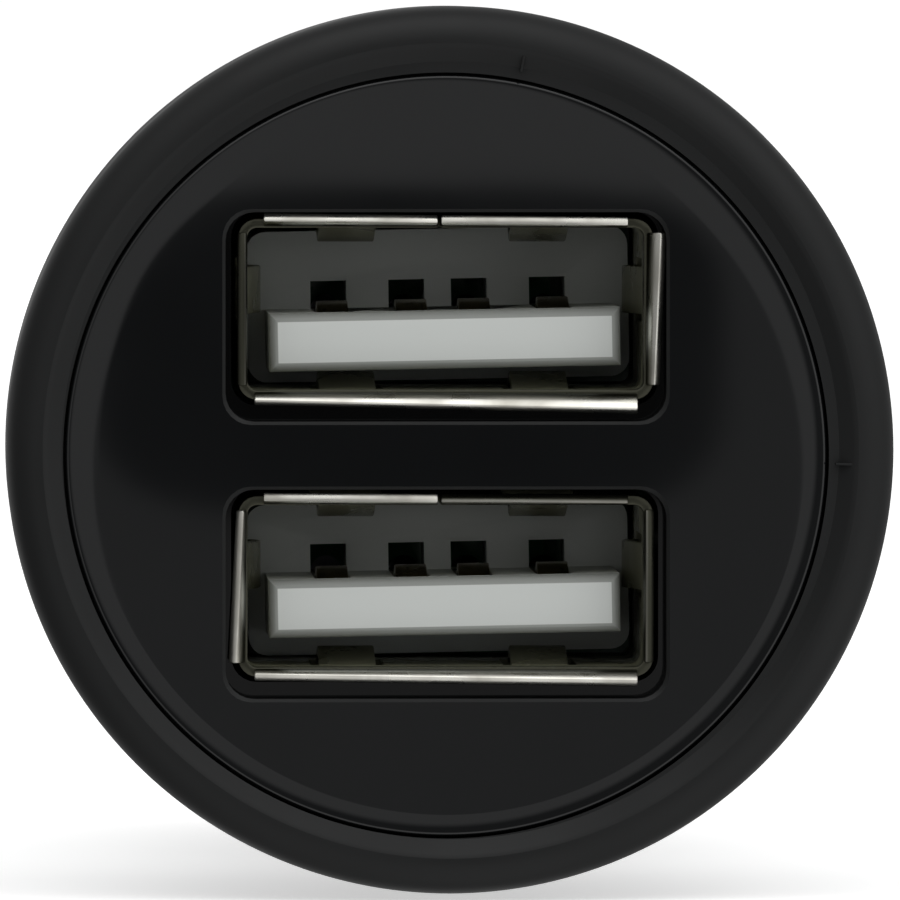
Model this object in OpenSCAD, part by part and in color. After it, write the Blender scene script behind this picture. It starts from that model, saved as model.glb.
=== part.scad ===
/* [Head] */
// Width of the rim between the head's side and the lip of its recess
rim_w = 1.22; // [1.15:0.01:1.6]
// Length of the head from its shoulder to the front of its rim
head_len = 17; // [16.5:0.5:22]
// Radius of the round from the head's side to the front of its rim
rim_round = 1.15; // [0.6:0.05:1.15]
// Depth of the recess from the rim's front to the face plate
recess_depth = 0.4; // [0.2:0.1:0.8]
// How far the recess widens on each side from its floor to its lip
recess_flare = 0.53; // [0.4:0.01:0.7]
// Width of the ledge that the face plate lies on
ledge_w = 0.65; // [0.5:0.05:0.9]
// Width of the shoulder that stops against the socket's mouth
shoulder_w = 2.2; // [1.8:0.1:2.4]
// Length of the straight band behind the rim
band_len = 8; // [5:0.5:10]

/* [Barrel] */
// Diameter of the barrel that goes into the car's socket
barrel_d = 20.3; // [20:0.1:20.4]
// Length of the barrel from the shoulder to its end step
barrel_len = 31; // [30:0.5:36]
// Wall of the barrel
barrel_wall = 1.2; // [1:0.1:1.4]
// How far the locating collar stands out from the barrel
collar_rise = 0.25; // [0.15:0.05:0.35]
// Length of the locating collar
collar_len = 3.4; // [2:0.2:3.6]
// Diameter of the threaded spigot that the nose cap screws onto
spigot_d = 14.8; // [14:0.2:16]
// Length of the spigot
spigot_len = 4.2; // [3.6:0.2:4.2]
// Thickness of the wall between the boards and the contact pin
bulkhead_t = 1.5; // [1:0.1:2]

/* [Face plate] */
// Least width of the plate outside the corners of its cut-outs
plate_margin = 1.65; // [1.6:0.05:2.4]
// Thickness of the face plate
plate_t = 1.8; // [1.4:0.1:2.2]
// How far the plate and what it carries sit off the head's axis
insert_shift = [-0.14, -0.16]; // [-0.2:0.02:0.2]
// Gap between a port's shell and its cut-out, left and right
cutout_gap_x = 0.4; // [0.36:0.02:0.5]
// Gap between a port's shell and its cut-out, above and below
cutout_gap_y = 0.44; // [0.36:0.02:0.5]
// Corner radius of each cut-out
cutout_r = 0.9; // [0.5:0.1:1.2]
// Bevel around each cut-out
cutout_bevel = 0.2; // [0.1:0.05:0.3]
// Length of the snap legs behind the plate
leg_len = 5.2; // [4.6:0.2:6]
// Width of a snap leg
leg_w = 4; // [3:0.2:5]

/* [USB ports] */
// Distance between the centres of the two ports
port_pitch = 8.74; // [8.6:0.02:9]
// How far both ports sit above the middles of their cut-outs
port_rise = 0.24; // [0:0.02:0.26]
// Width inside a port's metal shell
port_w = 12.5; // [12.4:0.05:12.6]
// Height inside a port's metal shell
port_h = 5.12; // [5:0.02:5.2]
// Thickness of the shell's sheet
sheet_t = 0.3; // [0.25:0.05:0.35]
// Distance from the plate's front down to the shell's mouth
mouth_depth = 0.55; // [0.45:0.05:0.8]
// Gap between the tongue and each side wall of its port
tongue_gap_x = 0.7; // [0.65:0.05:0.9]
// Gap between the upper port's tongue and the lower wall of its shell
upper_tongue_gap = 0.65; // [0.6:0.01:0.75]
// Gap between the lower port's tongue and the lower wall of its shell
lower_tongue_gap = 0.97; // [0.6:0.01:1]
// Thickness of the tongue
tongue_t = 1.84; // [1.7:0.02:1.9]
// Distance from the shell's mouth back to the tongue's front
tongue_inset = 1.4; // [1:0.1:1.6]
// Free length of the tongue in front of the insulator's back plate
tongue_len = 8; // [7.6:0.1:8.6]
// Turn of the tongues in their shells, in degrees
tongue_turn = 1.1; // [0:0.1:1.2]
// Distance of the outer contacts from the middle
outer_contact_x = 3.5; // [3.4:0.05:3.6]
// Distance of the inner contacts from the middle
inner_contact_x = 1; // [0.95:0.05:1.1]
// Width of a contact strip
contact_w = 1; // [0.8:0.05:1]
// Thickness of a contact strip
contact_t = 0.25; // [0.2:0.01:0.26]
// Distance of the shell's upper and lower spring fingers from its middle
finger_x = 3.05; // [2.8:0.05:3.4]
// Width of a spring finger in the upper and lower walls
finger_w = 1.8; // [1.4:0.1:2]
// Width of a spring finger in the side walls
side_finger_w = 1.5; // [1.2:0.1:1.8]
// How far a spring finger leans into the port
finger_lean = 0.5; // [0.3:0.05:0.55]

/* [Boards] */
// Thickness of both boards
board_t = 1.2; // [1:0.1:1.2]
// How far the round port board reaches past the ports and the barrel's bore
port_board_margin = 0.56; // [0.5:0.02:0.62]
// Gap between the main board's edges and the barrel's bore
board_gap = 0.75; // [0.6:0.05:1]
// Distance of the larger capacitor's axis from the main board's middle
big_can_y = 3.6; // [3.4:0.1:5]
// Length of the larger capacitor
big_can_len = 9; // [7:0.5:11]
// Distance of the smaller capacitor's axis from the main board's edge
small_can_edge = 3.2; // [2.8:0.1:3.6]
// Length of the smaller capacitor
small_can_len = 8; // [6:0.5:10]
// Diameter of the inductor's drum
drum_d = 6; // [5:0.2:6.4]
// Height of the inductor's drum
drum_h = 4.2; // [3.4:0.1:4.6]

/* [Ground springs] */
// Distance across the two side springs at rest
spring_span = 22.7; // [22:0.1:23]
// Width of a side spring's strip
spring_w = 4; // [3:0.2:4.4]
// Thickness of a side spring's strip
spring_t = 0.4; // [0.3:0.05:0.45]
// Distance from the end of a side spring's bow to the barrel's end step
bow_back = 6.7; // [6:0.1:8]
// Distance from the shoulder to the pivot of a side spring
pivot_depth = 4.3; // [4:0.1:4.6]
// Outer radius of the curled foot that a side spring rocks on
curl_r = 0.7; // [0.6:0.05:0.8]

/* [Nose] */
// Length of the nose cap
cap_len = 7.6; // [7:0.2:9]
// Diameter of the nose cap where it meets the barrel
cap_d = 19.4; // [18.6:0.2:20]
// Diameter of the nose cap's tip
cap_tip_d = 12.6; // [12:0.2:14]
// Number of flutes around the nose cap
flute_count = 24; // [16:2:30]
// Diameter of the contact pin
pin_d = 7.6; // [7:0.1:8]
// Length of the pin in front of the nose cap
pin_reach = 6.2; // [5:0.2:7]
// Height of the pin's domed tip
dome_h = 2.4; // [1.8:0.1:3]
// Depth of the bore in the pin for its spring
pin_bore_depth = 5.1; // [4:0.1:6]
// Diameter of the pin's flange
flange_d = 10; // [9.6:0.1:10]
// Thickness of the pin's flange
flange_t = 1.2; // [0.8:0.1:1.4]
// Wire diameter of the pin's spring
wire_d = 0.6; // [0.5:0.05:0.7]
// Outer diameter of the pin's spring
coil_d = 5.4; // [5:0.1:5.4]
// Turns of the pin's spring
coil_turns = 6.5; // [5:0.5:8]

/* [Hidden] */
$fn = 64;

// clearances, and how far joined or cutting solids run past each other
slip = 0.15;
air = 0.3;
plate_slip = 0.04;
bite = 0.1;
beyond = 1;
edge_bevel = 0.4;
plate_edge = 0.25;

// the ports' shells and their cut-outs
port_y = port_pitch / 2;
shell_w = port_w + 2 * sheet_t;
shell_h = port_h + 2 * sheet_t;
shell_r = 0.6;
shell_reach = norm([shell_w / 2, port_y + port_rise + shell_h / 2]);
cutout_w = shell_w + 2 * cutout_gap_x;
cutout_h = shell_h + 2 * cutout_gap_y;

// the face plate and the head around it, with depths counted up from the shoulder
plate_r = norm([cutout_w / 2, port_y + cutout_h / 2]) + plate_margin;
recess_r = plate_r + norm(insert_shift) + plate_slip;
lip_r = recess_r + recess_flare;
head_r = lip_r + rim_w;
rim_arc = min(rim_round, rim_w - 0.05);
cavity_r = recess_r - ledge_w;
face_z = head_len - recess_depth;
ledge_z = face_z - plate_t;

// the plate's snap legs, with a barb that clicks into a groove of the head
leg_end = ledge_z - leg_len;
leg_t = 1;
leg_r = cavity_r - norm(insert_shift) - bite;
barb = 0.55;
barb_start = 0.6;
barb_end = 1.2;
groove_in = 0.6;

// the plate's collars around the shells
collar_gap = 0.2;
collar_wall = 0.8;
collar_depth = 3;

// the barrel and the spigot, with depths counted down from the shoulder
barrel_r = barrel_d / 2;
collar_r = barrel_r + collar_rise;
shoulder_r = collar_r + shoulder_w;
bore_r = barrel_r - barrel_wall;
spigot_r = spigot_d / 2;
spigot_end = -barrel_len - spigot_len;
chamber_rise = 1.2;
flange_gap = 0.4;
chamber_r = flange_d / 2 + flange_gap;
bulkhead_back = -barrel_len + chamber_rise;
bulkhead_front = bulkhead_back + bulkhead_t;

// the boards
port_board_r = max(shell_reach, bore_r) + port_board_margin;
port_board_z = 1.5;
port_floor = port_board_z + board_t;
board_seat_r = port_board_r + air;
main_board_w = 2 * (bore_r - board_gap);
board_end_gap = 0.7;
board_end_len = 3.4;
main_board_end = bulkhead_front + board_end_gap;
board_step = main_board_end + board_end_len;
tenon_gap = 0.51;
tenon_w = port_pitch - shell_h - 2 * tenon_gap;

// inside the ports
mouth_z = face_z - mouth_depth;
lip_run = 0.42;
top_lip_flare = 0.7 * (cutout_gap_y - port_rise);
bottom_lip_flare = 0.66 * (cutout_gap_y + port_rise);
side_lip_flare = 0.35;
insulator_gap = 0.15;
tongue_w = port_w - 2 * tongue_gap_x;
tongue_front = mouth_z - tongue_inset;
plate_front = tongue_front - tongue_len;
groove_depth = contact_t + 0.05;
window_h = 0.88;
window_w = contact_w + slip;
contact_places = [-outer_contact_x, -inner_contact_x, inner_contact_x, outer_contact_x];
finger_root = mouth_z - 2;
finger_run = 3.4;
finger_tip = 1.3;
finger_gap = 0.25;
side_finger_y = 0.55;
pin_tail_w = 0.7;
tail_reach = 1.3;
tab_h = 1.6;

// the side springs and the straps that they touch
pivot_z = -pivot_depth;
spring_gap = 0.2;
seat_x = sqrt(pow(bore_r - spring_gap, 2) - pow(spring_w / 2, 2));
pivot_x = seat_x - curl_r;
bow_rise = spring_span / 2 - seat_x;
bow_len = barrel_len - pivot_depth - bow_back;
bow_end = pivot_z - bow_len;
tail_len = 2.6;
slot_lead = 1;
slot_w = spring_w + 2 * air;
cradle_gap = 0.2;
cradle_wall = 0.6;
strap_w = 2.4;
strap_t = 0.3;
strap_foot = 1.6;

// sizes of the parts on the boards, each [length, width, height]
chip_size = [4.9, 3.9, 1.6];
chip_pitch = 1.27;
port_chip_size = [2.9, 1.6, 1.1];
port_chip_pitch = 0.95;
port_chip_edge = 2.75;
diode_size = [4.6, 2.8, 2.1];
fuse_size = [3.2, 1.6, 0.9];
resistor_size = [2, 1.25, 0.6];
ceramic_size = [3.2, 1.6, 1.1];
drum_base_w = drum_d + 0.4;
drum_base = 0.5;
drum_rim = 0.8;
small_can_y = main_board_w / 2 - small_can_edge;
can_gap = 0.49;
can_lift = 0.15;
big_lead_gap = 2.5;
small_lead_gap = 2;

// one face of the main board has the inductor, the chip and the fuse in a row with spare room between them
row_start = pivot_z - strap_foot;
row_spare = row_start - main_board_end - drum_base_w - chip_size.x - fuse_size.x;
drum_y = -2.2;
drum_z = row_start - 0.33 * row_spare - drum_base_w / 2;
chip_z = drum_z - (drum_base_w + chip_size.x) / 2 - 0.29 * row_spare;
fuse_z = main_board_end + 0.36 * row_spare + fuse_size.x / 2;
side_row_edge = 3.6;
side_row_y = main_board_w / 2 - side_row_edge;
diode_z = drum_z + 2;
resistor_step = (diode_z - diode_size.x / 2 - board_step) / 5;

// the other face has the capacitors, and behind them the ceramic ones and two resistors
can_z = row_start - 0.7;
can_end = can_z - big_can_len;
can_spare = can_end - board_step;
ceramic_z = can_end - 0.26 * can_spare;
back_resistor_z = can_end - 0.69 * can_spare;

// the nose
cap_end = -barrel_len - cap_len;
cap_floor = spigot_end - 0.4;
thread_gap = 0.1;
pin_r = pin_d / 2;
pin_tip = cap_end - pin_reach;
flange_top = cap_floor + flange_t;
pin_bore_r = coil_d / 2 + air;
pin_bore_end = flange_top - pin_bore_depth;
seat_t = 0.5;
seat_r = coil_d / 2 + 0.7;
seat_face = bulkhead_back - seat_t;
shank_r = 1.8;
coil_r = (coil_d - wire_d) / 2;

black = [0.11, 0.115, 0.12];
glossy = [0.13, 0.135, 0.145];
dark = [0.12, 0.12, 0.13];
steel = [0.72, 0.72, 0.68];
ivory = [0.72, 0.73, 0.7];
brass = [0.82, 0.68, 0.36];
copper = [0.72, 0.42, 0.24];
green = [0.1, 0.36, 0.2];
blue = [0.25, 0.3, 0.42];
tan_clay = [0.68, 0.55, 0.4];

// points of an arc about c, from angle a to angle b
function arc(c, r, a, b, n = 6) =
    [for (i = [0:n]) c + r * [cos(a + (b - a) * i / n), sin(a + (b - a) * i / n)]];

// outline of a rectangle of size w by h with round corners
function round_rect(w, h, r, n = 5) = concat(
    arc([w / 2 - r, h / 2 - r], r, 0, 90, n),
    arc([r - w / 2, h / 2 - r], r, 90, 180, n),
    arc([r - w / 2, r - h / 2], r, 180, 270, n),
    arc([w / 2 - r, r - h / 2], r, 270, 360, n)
);

// outline of a bent strip of thickness t that follows the points, each [along, across]
function strip(points, t) = concat(
    [for (p = points) p],
    [for (i = [len(points) - 1:-1:0]) points[i] - [0, t]]
);

// height of a port's middle above the plate's middle, and of its tongue's top above the port's middle
function port_at(side) = side * port_y + port_rise;
function tongue_top(side) = tongue_t + (side > 0 ? upper_tongue_gap : lower_tongue_gap) - port_h / 2;

// radius of the largest can that lies on the board in the barrel's bore, at y off the board's middle
function can_r(y) = (pow(bore_r - can_gap, 2) - pow(board_t / 2 + can_lift, 2) - pow(y, 2))
    / (2 * (bore_r - can_gap + board_t / 2 + can_lift));

// the model is drawn with its face up, and turned so that the face looks along -Y
module in_place() rotate([90, 0, 0]) children();

// what the plate carries is off the head's axis with it
module in_insert() in_place() translate([insert_shift.x, insert_shift.y, 0]) children();

module at_port(side) in_insert() translate([0, port_at(side), 0]) children();

// an outline in x and z, drawn across the y direction with width w
module across_y(w) rotate([90, 0, 0]) linear_extrude(w, center = true) children();

// an outline in z and y, drawn across the x direction with width w
module across_x(w) rotate([0, -90, 0]) linear_extrude(w, center = true) children();

module box(size, at) translate(at) cube(size, center = true);

module ring_profile(points) rotate_extrude() polygon(points);

// the shell's outside, grown all round
module shell_outline(grow = 0)
    polygon(round_rect(shell_w + 2 * grow, shell_h + 2 * grow, shell_r + grow));

module housing_outside() {
    band_z = head_len - band_len;
    steps = 8;
    ring_profile(concat(
        [[0, spigot_end], [spigot_r - edge_bevel, spigot_end], [spigot_r, spigot_end + edge_bevel]],
        [[spigot_r, -barrel_len], [barrel_r - edge_bevel, -barrel_len]],
        [[barrel_r, -barrel_len + edge_bevel], [barrel_r, -collar_len - collar_rise]],
        [[collar_r, -collar_len], [collar_r, 0], [shoulder_r - edge_bevel, 0]],
        [for (i = [0:steps])
            [shoulder_r + (head_r - shoulder_r) * sin(90 * i / steps),
                edge_bevel + (band_z - edge_bevel) * i / steps]],
        arc([head_r - rim_arc, head_len - rim_arc], rim_arc, 0, 90, 10),
        [[0, head_len]]
    ));
}

module housing_inside() {
    seat_rise = 1;
    widen_len = 3;
    seat_top = port_floor + seat_rise;
    ring_profile([
        [0, spigot_end - beyond], [chamber_r, spigot_end - beyond], [chamber_r, bulkhead_back],
        [shank_r + bite, bulkhead_back], [shank_r + bite, bulkhead_front],
        [bore_r, bulkhead_front], [bore_r, port_board_z], [board_seat_r, port_board_z],
        [board_seat_r, seat_top], [cavity_r, seat_top + widen_len],
        [cavity_r, leg_end - slip], [cavity_r + groove_in, leg_end + barb_start - air],
        [cavity_r + groove_in, leg_end + barb_end + air], [cavity_r, leg_end + barb_end + air],
        [cavity_r, ledge_z], [recess_r, ledge_z], [recess_r, face_z],
        [lip_r, head_len], [lip_r, head_len + beyond], [0, head_len + beyond]
    ]);
}

// the moulded hook that a side spring's curled foot rocks in
module spring_cradle() {
    hook_side = 0.8;
    hook_w = slot_w + 2 * hook_side;
    hook_in = pivot_x - curl_r - cradle_gap - cradle_wall;
    hook_front = pivot_z + curl_r + cradle_gap + cradle_wall;
    hook_back = pivot_z - slot_lead;
    difference() {
        translate([hook_in, -hook_w / 2, hook_back])
            cube([bore_r + barrel_wall / 2 - hook_in, hook_w, hook_front - hook_back]);
        translate([pivot_x, 0, pivot_z]) rotate([90, 0, 0])
            cylinder(r = curl_r + cradle_gap, h = slot_w, center = true);
        translate([pivot_x - curl_r / 2, -slot_w / 2, hook_back - beyond])
            cube([bore_r, slot_w, pivot_z - hook_back + beyond]);
        translate([hook_in - beyond, -strap_w / 2 - slip, pivot_z - curl_r])
            cube([pivot_x - hook_in + beyond, strap_w + 2 * slip, 2 * curl_r]);
    }
}

// a rib that holds the main board's edge on one of its faces
module board_rib(x, y) {
    rib_w = 1;
    rib_len = 3;
    rib_grip = 1;
    box([rib_w, rib_len, -bulkhead_front - air],
        [x * (board_t / 2 + slip + rib_w / 2), y * ((main_board_w + rib_len) / 2 - rib_grip),
            (bulkhead_front - air) / 2]);
}

module housing() {
    color(black) in_place() {
        difference() {
            housing_outside();
            housing_inside();
            for (side = [0, 180])
                rotate([0, 0, side]) translate([bore_r - beyond, -slot_w / 2, bow_end + slot_lead])
                    cube([barrel_wall + 2 * beyond, slot_w, bow_len - 2 * slot_lead]);
        }
        intersection() {
            translate([0, 0, bulkhead_front - bite])
                cylinder(r = bore_r + barrel_wall / 3, h = port_board_z - bulkhead_front);
            union() {
                for (side = [0, 180]) rotate([0, 0, side]) spring_cradle();
                for (x = [-1, 1], y = [-1, 1]) board_rib(x, y);
            }
        }
    }
}

module cutout_cutter() {
    skin = 0.01;
    linear_extrude(face_z + beyond) polygon(round_rect(cutout_w, cutout_h, cutout_r));
    // the bevel opens towards the front
    hull() {
        translate([0, 0, face_z - cutout_bevel])
            linear_extrude(skin) polygon(round_rect(cutout_w, cutout_h, cutout_r));
        translate([0, 0, face_z + cutout_bevel])
            linear_extrude(skin)
                polygon(round_rect(cutout_w + 4 * cutout_bevel, cutout_h + 4 * cutout_bevel,
                    cutout_r + 2 * cutout_bevel));
    }
}

module snap_leg() {
    lead = 0.3;
    intersection() {
        ring_profile([
            [leg_r - leg_t, leg_end], [leg_r - lead, leg_end], [leg_r + barb, leg_end + barb_start],
            [leg_r + barb, leg_end + barb_end], [leg_r, leg_end + barb_end + edge_bevel / 2],
            [leg_r, ledge_z + bite], [leg_r - leg_t, ledge_z + bite]
        ]);
        translate([0, -leg_w / 2, 0]) cube([head_r, leg_w, head_len]);
    }
}

module face_plate() {
    color(glossy) in_insert() {
        difference() {
            ring_profile([
                [0, ledge_z], [plate_r - plate_edge, ledge_z], [plate_r, ledge_z + plate_edge],
                [plate_r, face_z - plate_edge], [plate_r - plate_edge, face_z], [0, face_z]
            ]);
            for (side = [-1, 1]) translate([0, side * port_y, 0]) cutout_cutter();
        }
        // a collar behind each cut-out keeps its shell in line
        difference() {
            for (side = [-1, 1])
                translate([0, port_at(side), ledge_z - collar_depth])
                    linear_extrude(collar_depth + bite) shell_outline(collar_gap + collar_wall);
            for (side = [-1, 1])
                translate([0, port_at(side), 0]) linear_extrude(face_z) shell_outline(collar_gap);
        }
        for (turn = [0:90:270]) rotate([0, 0, turn]) snap_leg();
    }
}

// a spring finger cut from a wall at distance wall_at and bent into the port
module finger(wall_at, w) {
    tip_back = 0.3;
    crest = finger_root - finger_run;
    across_x(w) polygon(strip([
        [finger_root + bite, wall_at], [finger_root, wall_at], [crest, wall_at - finger_lean],
        [crest - finger_tip, wall_at - finger_lean + tip_back]
    ], sheet_t));
}

// the window that frees a finger
module finger_window(wall_at, w) {
    length = finger_run + finger_tip + edge_bevel;
    box([w + 2 * finger_gap, 4 * sheet_t, length], [0, wall_at, finger_root - length / 2]);
}

// a lip bent outwards at the mouth
module flared_lip(wall_at, w, flare) {
    angle = atan(flare / lip_run);
    inner = wall_at - sheet_t;
    across_x(w) polygon([
        [mouth_z - bite, inner], [mouth_z, inner], [mouth_z + lip_run, inner + flare],
        [mouth_z + lip_run - sheet_t * sin(angle), inner + flare + sheet_t * cos(angle)],
        [mouth_z, wall_at], [mouth_z - bite, wall_at]
    ]);
}

module port_shell(side) {
    seam_x = -0.2;
    seam_w = 0.1;
    top_lip_end = 0.8;
    bottom_lip_end = 0.5;
    side_lip_end = 0.45;
    tab_len = board_t + tail_reach + bite;
    color(steel) at_port(side) {
        difference() {
            translate([0, 0, port_floor]) linear_extrude(mouth_z - port_floor) difference() {
                shell_outline();
                polygon(round_rect(port_w, port_h, shell_r - sheet_t));
            }
            for (turn = [0, 180], x = [-1, 1])
                rotate([0, 0, turn]) translate([x * finger_x, 0, 0]) finger_window(shell_h / 2, finger_w);
            for (x = [-1, 1])
                translate([0, side_finger_y, 0]) rotate([0, 0, -90 * x])
                    finger_window(shell_w / 2, side_finger_w);
            box([seam_w, 3 * sheet_t, head_len * 2], [seam_x, shell_h / 2, head_len]);
        }
        for (turn = [0, 180], x = [-1, 1])
            rotate([0, 0, turn]) translate([x * finger_x, 0, 0]) finger(shell_h / 2, finger_w);
        for (x = [-1, 1])
            translate([0, side_finger_y, 0]) rotate([0, 0, -90 * x]) finger(shell_w / 2, side_finger_w);
        // the top lip is in two halves, one on each side of the seam
        for (x = [-1, 1]) {
            from = seam_x + x * seam_w / 2;
            to = x * (shell_w / 2 - top_lip_end);
            translate([(from + to) / 2, 0, 0]) flared_lip(shell_h / 2, abs(to - from), top_lip_flare);
        }
        rotate([0, 0, 180]) flared_lip(shell_h / 2, shell_w - 2 * bottom_lip_end, bottom_lip_flare);
        for (x = [-1, 1])
            rotate([0, 0, -90 * x]) flared_lip(shell_w / 2, shell_h - 2 * side_lip_end, side_lip_flare);
        // solder tabs
        for (x = [-1, 1])
            box([sheet_t, tab_h, tab_len], [x * (shell_w - sheet_t) / 2, 0, port_floor + bite - tab_len / 2]);
    }
}

module port_insulator(side) {
    corner = 0.6;
    tip_bevel = 0.3;
    half_w = tongue_w / 2;
    groove_stop = 0.9;
    groove_from = plate_front - beyond;
    groove_to = tongue_front - groove_stop;
    top = tongue_top(side);
    color(ivory) at_port(side) rotate([0, 0, tongue_turn]) difference() {
        union() {
            translate([0, 0, port_floor]) linear_extrude(plate_front - port_floor)
                polygon(round_rect(port_w - 2 * insulator_gap, port_h - 2 * insulator_gap, corner));
            // the tongue's tip is bevelled all round
            intersection() {
                across_x(tongue_w + beyond) polygon([
                    [plate_front - bite, top - tongue_t], [plate_front - bite, top],
                    [tongue_front - tip_bevel, top],
                    [tongue_front, top - tip_bevel],
                    [tongue_front, top - tongue_t + tip_bevel],
                    [tongue_front - tip_bevel, top - tongue_t]
                ]);
                across_y(2 * port_h) polygon([
                    [-half_w, plate_front - bite], [half_w, plate_front - bite],
                    [half_w, tongue_front - tip_bevel], [half_w - tip_bevel, tongue_front],
                    [tip_bevel - half_w, tongue_front], [-half_w, tongue_front - tip_bevel]
                ]);
            }
        }
        for (x = contact_places) {
            // the window runs right through the back plate
            box([window_w, window_h + groove_depth, 2 * plate_front],
                [x, top + (window_h - groove_depth) / 2, 0]);
            box([window_w, groove_depth, groove_to - groove_from],
                [x, top - groove_depth / 2, (groove_from + groove_to) / 2]);
        }
    }
}

module port_contact(side, place) {
    lift = 0.02;
    floor_y = tongue_top(side) - groove_depth + contact_t + lift;
    crest = 0.35;
    end_back = 1.5;
    fall_run = 1.4;
    crest_run = 0.5;
    rise_run = 1.2;
    end_at = tongue_front - end_back;
    crest_to = end_at - fall_run;
    crest_from = crest_to - crest_run;
    bend_at = crest_from - rise_run;
    tail_root = 0.4;
    tail_h = board_t + tail_reach + tail_root;
    color(brass) at_port(side) rotate([0, 0, tongue_turn]) translate([contact_places[place], 0, 0]) {
        across_x(contact_w) polygon(strip([
            [port_floor + tail_root / 2, floor_y], [bend_at, floor_y], [crest_from, floor_y + crest],
            [crest_to, floor_y + crest], [end_at, floor_y]
        ], contact_t));
        // the tail goes through the port board
        box([pin_tail_w, contact_t, tail_h], [0, floor_y - contact_t / 2, port_floor + tail_root - tail_h / 2]);
    }
}

module port_board() {
    hole_r = 0.5;
    color(green) difference() {
        in_insert() difference() {
            translate([0, 0, port_board_z]) cylinder(r = port_board_r, h = board_t);
            for (side = [-1, 1], x = contact_places)
                translate([x, port_at(side) + tongue_top(side) - groove_depth + contact_t / 2, 0])
                    cylinder(r = hole_r, h = head_len, $fn = 24);
            for (side = [-1, 1], x = [-1, 1])
                box([sheet_t + 2 * finger_gap, tab_h + 2 * finger_gap, head_len],
                    [x * (shell_w - sheet_t) / 2, port_at(side), port_board_z]);
        }
        // slots for the main board's tenons, which are on the head's axis
        in_place() for (y = [-1, 0, 1])
            box([board_t + 2 * slip, tenon_w + 2 * air, head_len],
                [0, y * (main_board_w - tenon_w) / 2, port_board_z]);
    }
}

module main_board() {
    notch_w = 2.6;
    notch_depth = 2.4;
    notch_off = 0.3;
    end_w = 4;
    middle_reach = board_t + air;
    color(green) in_place() difference() {
        union() {
            box([board_t, main_board_w, port_board_z - board_step], [0, 0, (port_board_z + board_step) / 2]);
            // the narrow end reaches the spring seat
            box([board_t, end_w, board_step - main_board_end + bite],
                [0, 0, (board_step + main_board_end + bite) / 2]);
            // the middle tenon stands proud between the ports, and the outer two end flush
            box([board_t, tenon_w, middle_reach + bite], [0, 0, port_board_z + (middle_reach - bite) / 2]);
            for (y = [-1, 1])
                box([board_t, tenon_w, board_t + bite],
                    [0, y * (main_board_w - tenon_w) / 2, port_board_z + (board_t - bite) / 2]);
        }
        // notches for the solder joints of the inner contacts
        for (side = [-1, 1])
            box([2 * board_t, notch_w, 2 * notch_depth], [0, port_at(side) - notch_off, port_board_z]);
    }
}

// what stands on a face of the main board, with z now its height above the board
module on_board(y, z, face = 1)
    in_place() rotate([0, 0, 90 - face * 90]) translate([board_t / 2, face * y, z])
        rotate([0, 90, 0]) children();

module inductor_core() {
    color(dark) on_board(drum_y, drum_z) {
        box([drum_base_w, drum_base_w, drum_base], [0, 0, drum_base / 2]);
        ring_profile([
            [0, drum_base - bite], [drum_d / 2, drum_base - bite], [drum_d / 2, drum_base + drum_rim],
            [drum_d / 4, drum_base + drum_rim], [drum_d / 4, drum_h - drum_rim],
            [drum_d / 2, drum_h - drum_rim], [drum_d / 2, drum_h], [0, drum_h]
        ]);
    }
}

module inductor_winding() {
    gap = 0.05;
    inset = 0.45;
    turns = 5;
    wind_h = drum_h - 2 * drum_rim - drum_base - 2 * gap;
    pitch = wind_h / turns;
    bottom = drum_base + drum_rim + gap;
    color(copper) on_board(drum_y, drum_z) ring_profile(concat(
        [[drum_d / 4 + gap, bottom]],
        [for (i = [0:turns - 1], k = [0:4])
            [drum_d / 2 - inset + pitch / 2 * sin(180 * k / 4), bottom + pitch * (i + k / 4)]],
        [[drum_d / 4 + gap, bottom + wind_h]]
    ));
}

// a capacitor that lies along the board, with its two leads bent down to the board
module capacitor(r, length, lead_gap) {
    lift = r + can_lift;
    lead_r = 0.25;
    lead_out = 1.2;
    bead = 0.25;
    bead_at = 1.5;
    bead_w = 0.6;
    top_rim = 0.8;
    top_in = 0.15;
    translate([0, 0, lift]) rotate([0, 90, 0]) {
        ring_profile([
            [0, 0], [r - edge_bevel, 0], [r, edge_bevel], [r, bead_at - bead_w / 2],
            [r - bead, bead_at], [r, bead_at + bead_w / 2],
            [r, length - edge_bevel], [r - edge_bevel, length], [r - top_rim, length],
            [r - top_rim - bite, length - top_in], [0, length - top_in]
        ]);
        for (y = [-1, 1]) translate([0, y * lead_gap / 2, -lead_out]) {
            cylinder(r = lead_r, h = lead_out + bite, $fn = 24);
            sphere(r = lead_r, $fn = 24);
            rotate([0, 90, 0]) cylinder(r = lead_r, h = lift, $fn = 24);
        }
    }
}

module input_capacitor()
    color(blue) on_board(-big_can_y, can_z, -1) capacitor(can_r(big_can_y), big_can_len, big_lead_gap);

module output_capacitor()
    color(blue) on_board(small_can_y, can_z, -1)
        capacitor(can_r(small_can_y), small_can_len, small_lead_gap);

// a chip in a moulded body with bent legs along two sides
module chip(size, pitch, count) {
    stand_off = 0.1;
    foot_w = 0.4;
    foot_t = 0.2;
    reach = 1;
    side_y = size.y / 2;
    knee_y = side_y + reach / 2;
    knee_z = size.z / 2;
    box([size.x, size.y, size.z - stand_off], [0, 0, (size.z + stand_off) / 2]);
    for (turn = [0, 180], i = [0:count - 1])
        rotate([0, 0, turn]) translate([(i - (count - 1) / 2) * pitch, 0, 0])
            across_x(foot_w) polygon([
                [knee_z, side_y - bite], [knee_z, knee_y], [foot_t, knee_y + foot_t],
                [foot_t, side_y + reach], [0, side_y + reach], [0, knee_y],
                [knee_z - foot_t, knee_y - foot_t], [knee_z - foot_t, side_y - bite]
            ]);
}

module converter_chip() color(dark) on_board(-2, chip_z) chip(chip_size, chip_pitch, 4);

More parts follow.
